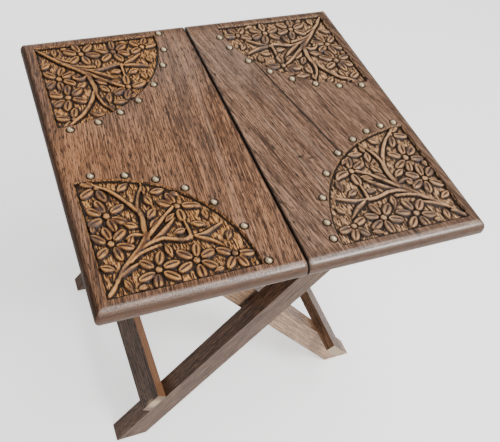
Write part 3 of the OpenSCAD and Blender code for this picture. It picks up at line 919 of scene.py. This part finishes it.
def woods():
    # Painted light: the front faces of the legs are lighter
    outer_front = ((FRONT, (0.17, 0.105, 0.072), 0.4),)
    inner_front = ((FRONT, (0.50, 0.33, 0.215), 0.45),)
    return {
        "top_left": top_left(),
        "top_right": top_right(),
        "outer_frame_wood": plain_wood("outer_frame_wood", (0, -LEG_LEAN, 0), 1.7, painted_light_faces=outer_front),
        "inner_frame_wood": plain_wood("inner_frame_wood", (0, LEG_LEAN, 0), 5.3, painted_light_faces=inner_front),
        "outer_slat_wood": outer_slat(),
        "inner_slat_wood": inner_slat(),
        "cleat_wood": plain_wood("cleat_wood", (0, 90, 0), 4.4, 0.6),
    }


def metals():
    # Painted shade: a dark crescent on the side of the stud heads away from the light
    painted_shade = (STUD_SHADE, (0.035, 0.020, 0.012))
    return {
        "stud_metal": metal("stud_metal", (0.26, 0.18, 0.09), (0.80, 0.65, 0.42), 0.36, 520, 0.4, painted_shade),
        "hinge_brass": metal("hinge_brass", (0.36, 0.24, 0.09), (0.72, 0.53, 0.24), 0.32, 260, 1.0),
        "steel": metal("steel", (0.07, 0.064, 0.06), (0.24, 0.23, 0.22), 0.42, 420, 1.0),
        "dark_iron": metal("dark_iron", (0.012, 0.010, 0.009), (0.05, 0.044, 0.04), 0.5, 520, 0.8),
    }


# ---------------------------------------------------------------- the object

def soften(obj, width):
    """Rounds the edges of a CAD node."""
    bevel = obj.modifiers.new("soft_edges", "BEVEL")
    bevel.width = width
    bevel.segments = 3
    bevel.limit_method = "ANGLE"
    bevel.angle_limit = math.radians(35)


def dress_nodes(looks):
    """Gives every CAD node the material of its slot and softens the wooden ones."""
    for name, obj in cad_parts.items():
        look = look_of(name)
        obj.data.materials.clear()
        obj.data.materials.append(looks[look])
        if look.endswith("wood"):
            soften(obj, EDGE_SOFT * MM)


def look_of(name):
    """Material slot of a CAD node."""
    if name.startswith("leaf_left"):
        return "top_left"
    if name.startswith("leaf_right"):
        return "top_right"
    if name.startswith("studs"):
        return "stud_metal"
    if "hinge_plate" in name:
        return "hinge_brass"
    if name.endswith(("cleat_front", "cleat_rear")):
        return "cleat_wood"
    if name == "outer_stretcher":
        return "outer_slat_wood"
    if name == "inner_stretcher":
        return "inner_slat_wood"
    if name in ("outer_leg_front", "outer_leg_rear"):
        return "outer_frame_wood"
    if name in ("inner_leg_front", "inner_leg_rear"):
        return "inner_frame_wood"
    if name.endswith("nails"):
        return "dark_iron"
    return "steel"


def build_leaf(side, looks):
    """One carved leaf with the studs of its two corners."""
    sign = -1 if side == "left" else 1
    node = "leaf_" + side
    seeds = LEAF_SEEDS[side]
    leaf = leaf_mesh(node, sign, STUD_ANGLES["near_" + side], STUD_ANGLES["far_" + side], seeds)
    leaf.data.materials.append(looks["top_" + side])
    attach(leaf, side + "_leaf_body", node)
    for end, side_y in (("near", -1), ("far", 1)):
        corner = end + "_" + side
        studs = studs_mesh("studs_" + corner, sign, side_y, STUD_ANGLES[corner], seeds[0] + side_y)
        studs.data.materials.append(looks["stud_metal"])
        attach(studs, side + "_leaf_body", "studs_" + corner)


def attach(obj, body, node):
    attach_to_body(obj, body)
    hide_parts(node)


# ---------------------------------------------------------------- the room

def floor():
    mesh = bpy.data.meshes.new("floor")
    half = FLOOR_HALF
    corners = [(-half, -half, 0), (half, -half, 0), (half, half, 0), (-half, half, 0)]
    mesh.from_pydata(corners, [], [(0, 1, 2, 3)])
    obj = bpy.data.objects.new("floor", mesh)
    bpy.context.scene.collection.objects.link(obj)
    s = Shader("floor")
    s.set(s.bsdf, "Base Color", (0.93, 0.93, 0.925, 1.0))
    s.set(s.bsdf, "Roughness", 0.85)
    s.set(s.bsdf, "Emission Color", (1.0, 1.0, 1.0, 1.0))
    s.set(s.bsdf, "Emission Strength", 1.0)
    obj.data.materials.append(s.material)


def area_light(name, at, target, size, power):
    light = bpy.data.lights.new(name, "AREA")
    light.shape = "RECTANGLE"
    light.size, light.size_y = size
    light.energy = power
    obj = bpy.data.objects.new(name, light)
    obj.location = at
    obj.rotation_euler = (Vector(target) - Vector(at)).to_track_quat("-Z", "Y").to_euler()
    bpy.context.scene.collection.objects.link(obj)


def lights():
    area_light("key", (0.9, -1.3, 1.6), (0, 0, 0.25), (0.6, 0.6), 34)
    area_light("overhead", (0.45, -0.25, 2.0), (0, 0, 0.3), (1.5, 0.8), 26)
    area_light("rear", (-0.5, 1.6, 1.2), (0, 0, 0.3), (1.2, 0.8), 7)
    world = bpy.data.worlds.new("room")
    world.use_nodes = True
    world.node_tree.nodes["Background"].inputs["Color"].default_value = (1.0, 1.0, 1.0, 1.0)
    world.node_tree.nodes["Background"].inputs["Strength"].default_value = 0.4
    bpy.context.scene.world = world


def camera():
    azimuth, elevation, roll = (math.radians(v) for v in (CAMERA_AZIMUTH, CAMERA_ELEVATION, CAMERA_ROLL))
    forward = Vector((math.sin(azimuth) * math.cos(elevation), math.cos(azimuth) * math.cos(elevation),
                      -math.sin(elevation)))
    level = forward.cross(Vector((0, 0, 1))).normalized()
    lift = level.cross(forward)
    right = level * math.cos(roll) + lift * math.sin(roll)
    up = right.cross(forward)
    turn = Matrix((right, up, -forward)).transposed()
    lens = bpy.data.cameras.new("camera")
    lens.sensor_width = CAMERA_SENSOR
    lens.sensor_fit = "HORIZONTAL"
    lens.lens = CAMERA_LENS
    lens.clip_start = 0.01
    obj = bpy.data.objects.new("camera", lens)
    obj.matrix_world = Matrix.Translation(CAMERA_AT) @ turn.to_4x4()
    bpy.context.scene.collection.objects.link(obj)
    bpy.context.scene.camera = obj


looks = {**woods(), **metals()}
dress_nodes(looks)
build_leaf("left", looks)
build_leaf("right", looks)
floor()
lights()
camera()
